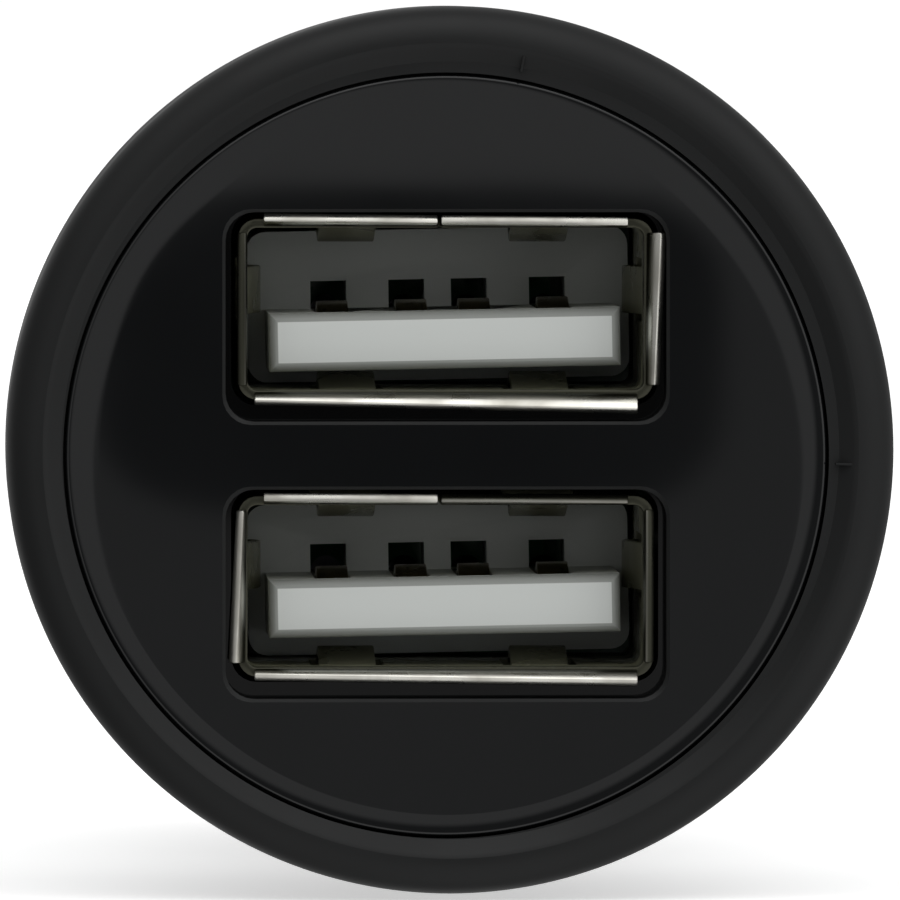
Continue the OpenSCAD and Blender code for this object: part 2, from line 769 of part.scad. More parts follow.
// the ports' own chip, under the port board
module port_chip()
    color(dark) in_place() translate([bore_r - port_chip_edge, 0, port_board_z]) rotate([180, 0, 90])
        chip(port_chip_size, port_chip_pitch, 3);

// a block with a metal cap at each end
module capped_block(size) {
    cap = size.x / 6;
    step = 0.1;
    box([size.x - 2 * cap + 2 * bite, size.y - step, size.z - step], [0, 0, (size.z - step) / 2]);
    for (x = [-1, 1]) box([cap, size.y, size.z], [x * (size.x - cap) / 2, 0, size.z / 2]);
}

module rectifier_diode() color(dark) on_board(side_row_y, diode_z) capped_block(diode_size);

module input_fuse() color(ivory) on_board(0, fuse_z) capped_block(fuse_size);

module chip_resistors() {
    color(dark) {
        for (row = [1:3])
            on_board(side_row_y, diode_z - diode_size.x / 2 - resistor_step * row)
                rotate([0, 0, 90]) capped_block(resistor_size);
        for (side = [-1, 1])
            on_board(side_row_y * side, back_resistor_z, -1) rotate([0, 0, 90]) capped_block(resistor_size);
    }
}

module ceramic_capacitors() {
    step = 0.35 * (main_board_w - ceramic_size.x);
    color(tan_clay) for (side = [-1:1])
        on_board(step * side, ceramic_z, -1) rotate([0, 0, 90]) capped_block(ceramic_size);
}

// the brass strap that carries the ground from a side spring to the main board
module ground_strap(face) {
    reach = pivot_x - curl_r - board_t / 2 - bite;
    color(brass) on_board(0, pivot_z, face) across_y(strap_w) polygon([
        [-strap_t / 2, 0], [-strap_t / 2, reach], [strap_t / 2, reach], [strap_t / 2, strap_t],
        [strap_foot, strap_t], [strap_foot, 0]
    ]);
}

// a bowed strip with a curled foot, drawn for the right side
module ground_spring(face) {
    steps = 24;
    hook = 0.3;
    bend = 0.5;
    bow = [for (i = [0:steps]) [bow_rise * pow(sin(180 * i / steps), 2), -bow_len * i / steps]];
    color(steel) in_place() rotate([0, 0, face > 0 ? 0 : 180]) {
        translate([pivot_x, 0, pivot_z]) rotate([90, 0, 0]) difference() {
            cylinder(r = curl_r, h = spring_w, center = true, $fn = 32);
            cylinder(r = curl_r - spring_t, h = spring_w + beyond, center = true, $fn = 32);
        }
        translate([seat_x, 0, pivot_z]) across_y(spring_w) polygon(concat(
            bow,
            [[0, hook - bow_len - tail_len], [-hook, -bow_len - tail_len]],
            [[-hook - spring_t, -bow_len - tail_len], [-spring_t, bend - bow_len - tail_len]],
            [for (i = [steps:-1:0]) bow[i] - [spring_t, 0]]
        ));
    }
}

module nose_cap() {
    cap_r = cap_d / 2;
    tip_r = cap_tip_d / 2;
    skirt = 2;
    skirt_end = -barrel_len - skirt;
    steps = 6;
    flute_r = 0.7;
    flute_out = 0.45;
    plain_band = 0.6;
    color(dark) in_place() difference() {
        ring_profile(concat(
            [[spigot_r + thread_gap, -barrel_len], [cap_r - edge_bevel, -barrel_len]],
            [[cap_r, -barrel_len - edge_bevel]],
            [for (i = [0:steps])
                [tip_r + (cap_r - tip_r) * cos(90 * i / steps),
                    skirt_end + (cap_end - skirt_end) * sin(90 * i / steps)]],
            [[pin_r + slip, cap_end], [pin_r + slip, cap_floor], [spigot_r + thread_gap, cap_floor]]
        ));
        for (i = [0:flute_count - 1])
            rotate([0, 0, 360 / flute_count * i]) translate([cap_r + flute_out, 0, cap_end - beyond])
                cylinder(r = flute_r, h = cap_len + beyond - plain_band, $fn = 24);
    }
}

module centre_pin() {
    steps = 8;
    last = 80;
    round_in = 0.2;
    color(steel) in_place() ring_profile(concat(
        [[pin_bore_r, flange_top], [flange_d / 2 - round_in, flange_top]],
        [[flange_d / 2, flange_top - round_in], [flange_d / 2, cap_floor], [pin_r, cap_floor]],
        [for (i = [0:steps])
            [pin_r * cos(last * i / steps), pin_tip + dome_h * (1 - sin(last * i / steps) / sin(last))]],
        [[0, pin_tip], [0, pin_bore_end], [pin_bore_r, pin_bore_end]]
    ));
}

module pin_spring() {
    sides = 8;
    per_turn = 14;
    end_gap = 0.03;
    top = seat_face - wire_d / 2 - end_gap;
    bottom = pin_bore_end + wire_d / 2 + end_gap;
    rings = floor(per_turn * coil_turns);
    points = [for (i = [0:rings], k = [0:sides - 1])
        let (turn = 360 * i / per_turn, r = coil_r + wire_d / 2 * cos(360 * k / sides))
        [r * cos(turn), r * sin(turn), top + (bottom - top) * i / rings + wire_d / 2 * sin(360 * k / sides)]];
    faces = concat(
        [[for (k = [0:sides - 1]) k]],
        [for (i = [0:rings - 1], k = [0:sides - 1])
            let (a = i * sides + k, b = i * sides + (k + 1) % sides) [a, a + sides, b + sides, b]],
        [[for (k = [sides - 1:-1:0]) rings * sides + k]]
    );
    color(steel) in_place() polyhedron(points, faces);
}

// the rivet that the pin's spring stands on, with its shank against the main board's end
module spring_seat() {
    boss_r = coil_r - wire_d / 2 - air;
    boss_h = 1;
    boss_bevel = 0.5;
    color(brass) in_place() ring_profile([
        [0, main_board_end], [shank_r, main_board_end], [shank_r, bulkhead_back],
        [seat_r, bulkhead_back], [seat_r, seat_face], [boss_r, seat_face],
        [boss_r, seat_face - boss_h + boss_bevel], [boss_r - boss_bevel, seat_face - boss_h],
        [0, seat_face - boss_h]
    ]);
}

housing();
face_plate();
port_shell(1);  // upper_port_shell
port_shell(-1);  // lower_port_shell
port_insulator(1);  // upper_port_insulator
port_insulator(-1);  // lower_port_insulator
port_contact(1, 0);  // upper_contact_1
port_contact(1, 1);  // upper_contact_2
port_contact(1, 2);  // upper_contact_3
port_contact(1, 3);  // upper_contact_4
port_contact(-1, 0);  // lower_contact_1
port_contact(-1, 1);  // lower_contact_2
port_contact(-1, 2);  // lower_contact_3
port_contact(-1, 3);  // lower_contact_4
port_board();
main_board();
inductor_core();
inductor_winding();
input_capacitor();
output_capacitor();
converter_chip();
port_chip();
rectifier_diode();
input_fuse();
chip_resistors();
ceramic_capacitors();
ground_strap(-1);  // left_ground_strap
ground_strap(1);  // right_ground_strap
ground_spring(-1);  // left_ground_spring
ground_spring(1);  // right_ground_spring
nose_cap();
centre_pin();
pin_spring();
spring_seat();
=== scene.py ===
# The charger plug lies with its face to the viewer, as it does in a car's socket.
import math

import bpy
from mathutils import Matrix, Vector


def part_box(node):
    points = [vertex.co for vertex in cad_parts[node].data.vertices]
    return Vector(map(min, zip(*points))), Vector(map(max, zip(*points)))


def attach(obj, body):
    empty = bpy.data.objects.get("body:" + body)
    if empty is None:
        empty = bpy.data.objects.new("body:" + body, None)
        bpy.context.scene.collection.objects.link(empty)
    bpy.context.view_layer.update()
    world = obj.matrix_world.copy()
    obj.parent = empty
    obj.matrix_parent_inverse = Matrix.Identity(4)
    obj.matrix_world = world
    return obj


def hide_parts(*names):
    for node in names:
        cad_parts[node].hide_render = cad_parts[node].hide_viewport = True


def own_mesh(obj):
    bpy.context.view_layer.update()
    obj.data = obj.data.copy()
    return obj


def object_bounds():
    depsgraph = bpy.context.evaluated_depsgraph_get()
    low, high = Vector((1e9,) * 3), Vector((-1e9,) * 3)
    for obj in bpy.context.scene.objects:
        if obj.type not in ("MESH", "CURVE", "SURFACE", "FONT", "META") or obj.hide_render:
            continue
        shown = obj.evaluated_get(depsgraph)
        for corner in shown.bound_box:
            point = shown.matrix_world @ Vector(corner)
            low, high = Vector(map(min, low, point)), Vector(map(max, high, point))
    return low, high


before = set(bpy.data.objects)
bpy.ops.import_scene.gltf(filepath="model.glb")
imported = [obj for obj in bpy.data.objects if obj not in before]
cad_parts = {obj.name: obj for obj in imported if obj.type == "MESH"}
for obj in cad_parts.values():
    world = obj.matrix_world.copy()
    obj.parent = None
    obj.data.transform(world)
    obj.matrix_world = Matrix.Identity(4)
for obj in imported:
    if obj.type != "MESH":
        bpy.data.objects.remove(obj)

cad_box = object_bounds()
mm = 0.001


# The head and the barrel are one moulding of black plastic, satin outside and a little dusty.
# Its outline runs from the lip round the rim, down the outside to the spigot, and back up the bore.
# Two slots along the barrel let the side springs out.
def arc(y, r, radius, start, end, steps):
    """Points (y, r) round a middle; 0 degrees points to the nose, and 90 away from the axis."""
    turns = [math.radians(start + (end - start) * i / steps) for i in range(steps + 1)]
    return [(y + radius * math.cos(t), r + radius * math.sin(t)) for t in turns]


def select(*pieces):
    """Selects these pieces alone, with the first one active."""
    bpy.ops.object.select_all(action="DESELECT")
    for piece in pieces:
        piece.select_set(True)
    bpy.context.view_layer.objects.active = pieces[0]


def wire(name, points):
    """A new piece in edit mode: one vertex, extruded along the points."""
    bpy.ops.object.select_all(action="DESELECT")
    bpy.ops.mesh.primitive_plane_add(size=mm)
    bpy.context.object.name = name
    bpy.ops.object.mode_set(mode="EDIT")
    bpy.ops.mesh.select_mode(type="VERT")
    bpy.ops.mesh.merge(type="CENTER")
    bpy.ops.transform.translate(value=Vector(points[0]) * mm)
    for a, b in zip(points, points[1:]):
        step = (Vector(b) - Vector(a)) * mm
        bpy.ops.mesh.extrude_region_move(TRANSFORM_OT_translate={"value": step})
    bpy.ops.mesh.select_all(action="SELECT")
    return bpy.context.object


def turned(name, outline, steps):
    """An outline of (y, r) points in millimetres, spun round the plug's axis."""
    piece = wire(name, [(r, y, 0) for y, r in outline])
    bpy.ops.mesh.spin(steps=steps, angle=math.tau, center=(0, 0, 0), axis=(0, 1, 0))
    bpy.ops.mesh.select_all(action="SELECT")
    bpy.ops.mesh.remove_doubles(threshold=0.0005 * mm)
    bpy.ops.mesh.normals_make_consistent(inside=False)
    bpy.ops.object.mode_set(mode="OBJECT")
    return piece


def smooth(piece, degrees=35):
    """Shades a piece smooth, except where its faces meet at more than the angle."""
    select(piece)
    bpy.ops.object.shade_smooth_by_angle(angle=math.radians(degrees))


def block(name, low, high, edge=0.0, segments=2):
    """A box between two corners in millimetres, with its edges rounded."""
    low, high = Vector(low) * mm, Vector(high) * mm
    bpy.ops.object.select_all(action="DESELECT")
    bpy.ops.mesh.primitive_cube_add(size=1)
    piece = bpy.context.object
    piece.name = name
    bpy.ops.object.mode_set(mode="EDIT")
    bpy.ops.transform.resize(value=high - low)
    bpy.ops.transform.translate(value=(low + high) / 2)
    if edge:
        bpy.ops.mesh.bevel(offset=edge * mm, segments=segments, affect="EDGES")
    bpy.ops.object.mode_set(mode="OBJECT")
    return piece


def apply_modifier(piece, kind, **settings):
    """Adds a modifier to a piece and applies it at once."""
    modifier = piece.modifiers.new(kind.lower(), kind)
    for key, value in settings.items():
        setattr(modifier, key, value)
    bpy.context.view_layer.objects.active = piece
    bpy.ops.object.modifier_apply(modifier=modifier.name)


def combine(piece, other, operation):
    """Unites a piece with another one, or cuts the other out of it; the other is used up."""
    apply_modifier(piece, "BOOLEAN", object=other, operation=operation, solver="EXACT")
    bpy.data.objects.remove(other)


def cut(piece, *cutters):
    """Takes the cutters' shapes out of a piece."""
    for cutter in cutters:
        combine(piece, cutter, "DIFFERENCE")


def place(piece, shift=(0, 0, 0), turn=0.0):
    """Turns a piece's mesh round the plug's axis by degrees, then shifts it by millimetres."""
    select(piece)
    piece.rotation_euler.y = math.radians(turn)
    piece.location = Vector(shift) * mm
    bpy.ops.object.transform_apply(location=True, rotation=True, scale=True)
    return piece


def copy(piece, name):
    """A copy of a piece, with a mesh of its own."""
    twin = piece.copy()
    twin.data = piece.data.copy()
    twin.name = name
    bpy.context.collection.objects.link(twin)
    return twin


def join(name, parts):
    """One piece out of several; the first one takes in the rest."""
    select(*parts)
    bpy.ops.object.join()
    parts[0].name = name
    return parts[0]


def node(tree, kind, inputs, **settings):
    """A shader node; an input is set to a value, or linked to another node's output."""
    made = tree.nodes.new("ShaderNode" + kind)
    for key, value in settings.items():
        setattr(made, key, value)
    for key, value in inputs.items():
        if isinstance(value, bpy.types.NodeSocket):
            tree.links.new(value, made.inputs[key])
        else:
            made.inputs[key].default_value = value
    return made


def blend(tree, share, a, b):
    """A colour between two others."""
    return node(tree, "Mix", {0: share, 6: a, 7: b}, data_type="RGBA").outputs[2]


def group(name, inputs, outputs):
    """An empty node group with its named sockets."""
    made = bpy.data.node_groups.new(name, "ShaderNodeTree")
    kinds = {"Color": "NodeSocketColor", "Copper Color": "NodeSocketColor", "Normal": "NodeSocketVector"}
    for in_out, labels in (("INPUT", inputs), ("OUTPUT", outputs)):
        for label in labels:
            made.interface.new_socket(label, in_out=in_out, socket_type=kinds.get(label, "NodeSocketFloat"))
    return made, made.nodes.new("NodeGroupInput").outputs, made.nodes.new("NodeGroupOutput").inputs


def moulded_skin():
    """The skin of moulded plastic: fine grain, patches of uneven gloss and specks of dust."""
    tree, given, put = group(
        "moulded_skin", ["Color", "Gloss", "Grain Scale", "Grain Detail", "Grain Depth", "Dust"],
        ["Color", "Roughness", "Normal"])
    place_on = tree.nodes.new("ShaderNodeTexCoord").outputs["Object"]
    grain = node(tree, "TexNoise", {"Vector": place_on, "Scale": given["Grain Scale"],
                                    "Detail": given["Grain Detail"]})
    patch = node(tree, "TexNoise", {"Vector": place_on, "Scale": 160.0, "Detail": 3.0})
    uneven = node(tree, "MapRange", {"Value": patch.outputs["Fac"], "From Min": 0.35, "From Max": 0.65,
                                     "To Min": 0.85, "To Max": 1.15})
    rough = node(tree, "Math", {0: given["Gloss"], 1: uneven.outputs["Result"]}, operation="MULTIPLY")
    cells = node(tree, "TexVoronoi", {"Vector": place_on, "Scale": 420.0})
    near = node(tree, "Math", {0: cells.outputs["Distance"], 1: 0.035}, operation="LESS_THAN")
    parts = node(tree, "SeparateColor", {"Color": cells.outputs["Color"]})
    chosen = node(tree, "Math", {0: parts.outputs["Red"], 1: given["Dust"]}, operation="LESS_THAN")
    speck = node(tree, "Math", {0: near.outputs[0], 1: chosen.outputs[0]}, operation="MULTIPLY")
    shade = node(tree, "MapRange", {"Value": patch.outputs["Fac"], "To Min": 0.0, "To Max": 0.06})
    worn = blend(tree, shade.outputs["Result"], given["Color"], (0.05, 0.052, 0.055, 1))
    colour = blend(tree, speck.outputs[0], worn, (0.16, 0.16, 0.15, 1))
    bump = node(tree, "Bump", {"Strength": 1.0, "Distance": given["Grain Depth"],
                               "Height": grain.outputs["Fac"]})
    tree.links.new(colour, put["Color"])
    tree.links.new(rough.outputs[0], put["Roughness"])
    tree.links.new(bump.outputs["Normal"], put["Normal"])
    return tree


def material(name, skin, values, **shader_values):
    """A Principled material whose colour, roughness and normal come from a skin group."""
    made = bpy.data.materials.new(name)
    made.use_nodes = True
    tree = made.node_tree
    shader = tree.nodes["Principled BSDF"]
    for key, value in shader_values.items():
        shader.inputs[key.replace("_", " ")].default_value = value
    look = tree.nodes.new("ShaderNodeGroup")
    look.node_tree = skin
    for key, value in values.items():
        look.inputs[key].default_value = value
    tree.links.new(look.outputs["Color"], shader.inputs["Base Color"])
    tree.links.new(look.outputs["Roughness"], shader.inputs["Roughness"])
    tree.links.new(look.outputs["Normal"], shader.inputs["Normal"])
    return made


def wear(piece, finish):
    """Gives a piece its material."""
    piece.data.materials.clear()
    piece.data.materials.append(finish)


plastic = moulded_skin()


def moulded(name, colour, gloss, grain, depth, dust, detail=4.0, specular=0.5):
    """A moulded material; grain is its grain's scale, depth the grain's depth in metres."""
    values = {"Color": (*colour, 1), "Gloss": gloss, "Grain Scale": grain, "Grain Detail": detail,
              "Grain Depth": depth, "Dust": dust}
    return material(name, plastic, values, Specular_IOR_Level=specular)


low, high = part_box("housing")
rim_y = low.y / mm
spigot_end = high.y / mm
head_r = high.x / mm
rim_w, rim_round = 1.22, 1.15
recess_depth, slope_w = 0.4, 0.53
ledge_depth, ledge_w = 1.8, 0.65
lip_r = head_r - rim_w
recess_y = rim_y + recess_depth
recess_r = lip_r - slope_w
ledge_y = recess_y + ledge_depth
cavity_r = recess_r - ledge_w
band_end = rim_y + 8
shoulder_r = 12.6
moulded_edge = 0.4
collar_r, collar_end, collar_edge, collar_slope = 10.4, 3.4, 0.1, 0.25
barrel_r, barrel_end = 10.15, 31.0
bore_r = 8.95
spigot_r = 7.4
chamber_r, bulkhead_back, bulkhead_front = 5.4, 29.8, 28.3
shank_r = 1.9
board_seat_r, board_seat_y, seat_top, seat_taper = 10.8, -1.5, -3.7, 3
slot_w, slot_from, slot_to, slot_cut = 4.6, 5.3, 23.3, 2
curve_steps = 16
lip_bevel = [(rim_y + back, lip_r + out) for back, out in ((0.09, -0.11), (0.03, -0.02), (0, 0.08))]
spare_wall = cavity_r + 0.2
waist = []
for i in range(curve_steps + 1):
    along = i / curve_steps
    waist.append((band_end + (-moulded_edge - band_end) * along,
                  shoulder_r + (head_r - shoulder_r) * math.cos(math.pi / 2 * along)))
head_outline = (
    [(recess_y, spare_wall), (recess_y, recess_r)] + lip_bevel
    + arc(rim_y + rim_round, head_r - rim_round, rim_round, 180, 90, 16)
    + waist
    + arc(-moulded_edge, shoulder_r - moulded_edge, moulded_edge, 90, 0, 5)
    + [(0, collar_r + collar_edge), (collar_edge, collar_r)]
    + [(collar_end, collar_r), (collar_end + collar_slope, barrel_r)]
    + arc(barrel_end - moulded_edge, barrel_r - moulded_edge, moulded_edge, 90, 0, 5)
    + [(barrel_end, spigot_r)]
    + arc(spigot_end - moulded_edge, spigot_r - moulded_edge, moulded_edge, 90, 0, 4)
    + [(spigot_end, chamber_r), (bulkhead_back, chamber_r), (bulkhead_back, shank_r)]
    + [(bulkhead_front, shank_r), (bulkhead_front, bore_r), (board_seat_y, bore_r)]
    + [(board_seat_y, board_seat_r), (seat_top, board_seat_r), (seat_top - seat_taper, cavity_r)]
    + [(ledge_y, cavity_r), (ledge_y, spare_wall), (recess_y, spare_wall)]
)
moulding = turned("head_and_barrel", head_outline, steps=240)
shift_x, shift_z = -0.14, -0.16
plate_r, plate_gap = 12.0, 0.07
seat_r, seat_from = plate_r + plate_gap, recess_y - 0.1
seat = turned("plate_seat", [(ledge_y, 0), (ledge_y, seat_r), (seat_from, seat_r), (seat_from, 0)], steps=240)
cut(moulding, place(seat, (shift_x, 0, shift_z)))
for side in (-1, 1):
    middle = side * barrel_r
    cut(moulding, block("slot", (middle - slot_cut, slot_from, -slot_w / 2),
                        (middle + slot_cut, slot_to, slot_w / 2)))
# where the mould's halves met, two hair-thin lines of flash cross the recess's slope
flash_half, flash_edge = 0.04, 0.02
for turn in (-79.5, 2):
    flash = block("flash", (recess_r - 0.12, rim_y + 0.1, -flash_half),
                  (lip_r - 0.02, recess_y, flash_half), flash_edge)
    combine(moulding, place(flash, turn=turn), "UNION")
smooth(moulding)
satin_black = moulded("satin black plastic", (0.008, 0.0085, 0.0086), gloss=0.5, grain=5200.0, depth=4e-6,
                      dust=0.05, specular=0.24)
wear(moulding, satin_black)
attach(moulding, "charger")
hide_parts("housing")

# Inside the barrel are the moulded hooks that the side springs rock in, and four ribs that hold
# the main board's edges. They are part of the same moulding.
pivot_x, pivot_y, curl_r = 7.818, 4.3, 0.7
hook_gap, hook_wall = 0.2, 0.6
hook_in = pivot_x - curl_r - hook_gap - hook_wall
hook_half = slot_w / 2 + 0.8
hook_front = pivot_y - curl_r - hook_gap - hook_wall
hook_back = pivot_y + 1
strap_half = 1.35
hook = block("hook", (hook_in, hook_front, -hook_half), (bore_r + 0.2, hook_back, hook_half), 0.1)
bpy.ops.mesh.primitive_cylinder_add(vertices=48, radius=(curl_r + hook_gap) * mm, depth=slot_w * mm)
socket = place(bpy.context.object, (pivot_x, pivot_y, 0))
cut(hook, socket,
    block("mouth", (pivot_x - 0.35, pivot_y, -slot_w / 2), (bore_r + 2, hook_back + 1, slot_w / 2)),
    block("way", (hook_in - 1, pivot_y - curl_r, -strap_half), (pivot_x, pivot_y + curl_r, strap_half)))
inner = [hook, place(copy(hook, "left_hook"), turn=180)]
board_half_t, board_half_w = 0.6, 8.2
rib_gap, rib_t, rib_hold, rib_over, rib_from = 0.15, 1.0, 1.0, 0.35, 0.3
for x in (-1, 1):
    for z in (-1, 1):
        near, far = sorted((x * (board_half_t + rib_gap), x * (board_half_t + rib_gap + rib_t)))
        start, stop = sorted((z * (board_half_w - rib_hold), z * (board_half_w + rib_over)))
        inner.append(block("rib", (near, rib_from, start), (far, bulkhead_front, stop), 0.1))
hooks = join("spring_hooks_and_ribs", inner)
smooth(hooks)
wear(hooks, satin_black)
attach(hooks, "charger")

# The face plate is a glossy black disc, pressed into the recess and held by four snap legs.
# It is a little crowned towards its edge, and sits a hair off the head's axis.
port_up, port_rise = 4.37, 0.24
plate_edge = 0.12
crown_from, crown_drop = 11.3, 0.02
cutout_w, cutout_h, cutout_r = 13.9, 6.6, 0.9
cutout_bevel = 0.1


def rounded_prism(name, width, height, radius, y_from, y_to):
    """A round-cornered bar along the axis, left in edit mode with its last end selected."""
    bpy.ops.object.select_all(action="DESELECT")
    bpy.ops.mesh.primitive_plane_add(size=1, rotation=(math.pi / 2, 0, 0))
    bpy.ops.object.transform_apply(rotation=True)
    piece = bpy.context.object
    piece.name = name
    bpy.ops.object.mode_set(mode="EDIT")
    bpy.ops.transform.resize(value=(width * mm, 1, height * mm))
    bpy.ops.transform.translate(value=(0, y_from * mm, 0))
    bpy.ops.mesh.bevel(offset=radius * mm, segments=6, affect="VERTICES")
    bpy.ops.mesh.extrude_region_move(TRANSFORM_OT_translate={"value": (0, (y_to - y_from) * mm, 0)})
    return piece


def finished(piece):
    """Leaves edit mode with the faces pointing outwards."""
    bpy.ops.mesh.select_all(action="SELECT")
    bpy.ops.mesh.normals_make_consistent(inside=False)
    bpy.ops.object.mode_set(mode="OBJECT")
    return piece


crown_steps = 8
crown = []
for i in range(crown_steps + 1):
    along = i / crown_steps
    crown.append((recess_y + crown_drop * along ** 2,
                  crown_from + (plate_r - plate_edge - crown_from) * along))
plate_outline = (
    [(recess_y, 0), (recess_y, crown_from - 0.4)] + crown
    + arc(recess_y + crown_drop + plate_edge, plate_r - plate_edge, plate_edge, 170, 90, 5)
    + [(ledge_y - 0.2, plate_r), (ledge_y, plate_r - 0.2), (ledge_y, 0)]
)
plate = turned("face_disc", plate_outline, steps=240)
for side in (-1, 1):
    window = rounded_prism("cutout", cutout_w, cutout_h, cutout_r, ledge_y + 1, recess_y + cutout_bevel)
    bpy.ops.mesh.extrude_region_move(TRANSFORM_OT_translate={"value": (0, -3 * cutout_bevel * mm, 0)})
    bpy.ops.transform.resize(value=(1 + 6 * cutout_bevel / cutout_w, 1, 1 + 6 * cutout_bevel / cutout_h))
    cut(plate, place(finished(window), (0, 0, side * port_up)))
shell_w, shell_h = 13.1, 5.72
collar_wall, collar_len, shell_gap = 1.0, 3, 0.2
sunk = 0.05
behind = []
for side in (-1, 1):
    collar = rounded_prism("collar", shell_w + 2 * collar_wall, shell_h + 2 * collar_wall, 1.6,
                           ledge_y - sunk, ledge_y + collar_len)
    behind.append(place(finished(collar), (0, 0, side * port_up + port_rise)))
for side in (-1, 1):
    for collar in behind:
        hole = rounded_prism("hole", shell_w + 2 * shell_gap, shell_h + 2 * shell_gap, 0.8,
                             ledge_y - 1, ledge_y + collar_len + 1)
        cut(collar, place(finished(hole), (0, 0, side * port_up + port_rise)))
leg_r, leg_t, leg_len, leg_half = cavity_r - 0.31, 1, 5.2, 2.0
barb_len, barb_from_end, barb_out = 0.8, 0.5, 0.5
leg_end = ledge_y + leg_len
for turn in range(0, 360, 90):
    leg = block("leg", (leg_r - leg_t, ledge_y - sunk, -leg_half), (leg_r, leg_end, leg_half), 0.08)
    barb = block("barb", (leg_r - 0.3, leg_end - barb_from_end - barb_len, -leg_half),
                 (leg_r + barb_out, leg_end - barb_from_end, leg_half), 0.2, 1)
    behind += [place(leg, turn=turn), place(barb, turn=turn)]
plate = place(join("face_disc", [plate] + behind), (shift_x, 0, shift_z))
smooth(plate)
glossy_black = moulded("glossy black plastic", (0.0052, 0.0057, 0.0062), gloss=0.018, grain=300.0, depth=1e-7,
                       dust=0.03, detail=0.5)
wear(plate, glossy_black)
plate.data.materials.append(satin_black)
# the cut-outs' walls and bevels are satin
for face in plate.data.polygons:
    off_x = abs(face.center.x / mm - shift_x) - cutout_w / 2
    off_z = abs(abs(face.center.z / mm - shift_z) - port_up) - cutout_h / 2
    if max(off_x, off_z) < cutout_bevel and face.normal.y > -0.9:
        face.material_index = 1
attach(plate, "charger")
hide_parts("face_plate")

# Each port is a folded shell of nickel-plated steel sheet. Its mouth has a lip bent out on each side,
# its top has a seam, and six fingers are cut free and bent in to grip the plug.
sheet = 0.3
mouth_y = recess_y + 0.55
shell_floor = -2.7
shell_corner = 0.6
finger_x, finger_w = 3.05, 1.8
side_finger_z, side_finger_w = 0.55, 1.5
finger_root, finger_window, finger_gap = mouth_y + 2, 5.1, 0.25
seam_x, seam_w = -0.2, 0.1
tab_half, tab_end = 0.8, -0.2


def break_edges(piece, width, degrees):
    """Bevels the edges where faces meet at more than the angle."""
    apply_modifier(piece, "BEVEL", width=width * mm, segments=2, limit_method="ANGLE",
                   angle_limit=math.radians(degrees))


def strip(name, path, width, thickness, edge=0.05, far_bend=1.0, root_z=0.0):
    """A bent strip: a path of (y, z) points in millimetres, drawn across x and given its thickness inwards.

    Its far end is bent more or less than its near end, as measured from the root's height."""
    piece = wire(name, [(-width / 2, y, z) for y, z in path])
    bpy.ops.mesh.extrude_region_move(TRANSFORM_OT_translate={"value": (width * mm, 0, 0)})
    bpy.ops.transform.resize(value=(1, 1, far_bend), center_override=(0, 0, root_z * mm))
    finished(piece)
    if sum(face.normal.z for face in piece.data.polygons) < 0:
        piece.data.flip_normals()
    apply_modifier(piece, "SOLIDIFY", thickness=thickness * mm, offset=-1, use_even_offset=True)
    break_edges(piece, edge, 50)
    return piece


def walls_of_shell():
    """The shell's four walls with their windows and seam, about the port's own middle."""
    shell = rounded_prism("shell", shell_w, shell_h, shell_corner, shell_floor, mouth_y)
    finished(shell)
    hollow = rounded_prism("hollow", shell_w - 2 * sheet, shell_h - 2 * sheet, shell_corner - sheet,
                           shell_floor + 1, mouth_y - 1)
    cut(shell, finished(hollow))
    windows = []
    window_end = finger_root + finger_window
    for x in (-finger_x, finger_x):
        half = finger_w / 2 + finger_gap
        windows.append(block("window", (x - half, finger_root, -shell_h), (x + half, window_end, shell_h)))
    half = side_finger_w / 2 + finger_gap
    windows.append(block("window", (-shell_w, finger_root, side_finger_z - half),
                         (shell_w, window_end, side_finger_z + half)))
    windows.append(block("seam", (seam_x - seam_w / 2, mouth_y - 1, shell_h / 2 - 1),
                         (seam_x + seam_w / 2, shell_floor + 1, shell_h / 2 + 1)))
    cut(shell, *windows)
    break_edges(shell, 0.04, 50)
    return shell


def finger(wall, width):
    """A finger of the upper wall; wall is the distance from the port's middle to the wall's outside."""
    crest, tip = finger_root + 3.4, finger_root + 4.7
    path = [(finger_root - 0.1, wall), (finger_root + 0.4, wall - 0.02), (crest - 0.5, wall - 0.45),
            (crest, wall - 0.5), (crest + 0.4, wall - 0.46), (tip, wall - 0.2)]
    return strip("finger", path, width, sheet)


def lip(wall, start, end, first, last):
    """A lip of the upper wall from start to end across it, bent out at the mouth by first to last.

    One that is hardly bent stands less far out."""
    reach = 1 if first + last > 0.1 else 0.3
    bend = ((0.6, 0), (0.25, 0.06), (0.05, 0.2), (-0.1 * reach, 0.5), (-0.25 * reach, 0.95))
    path = [(mouth_y + back, wall + first * share) for back, share in bend]
    return place(strip("lip", path, end - start, sheet, 0.06, last / first, wall), ((start + end) / 2, 0, 0))


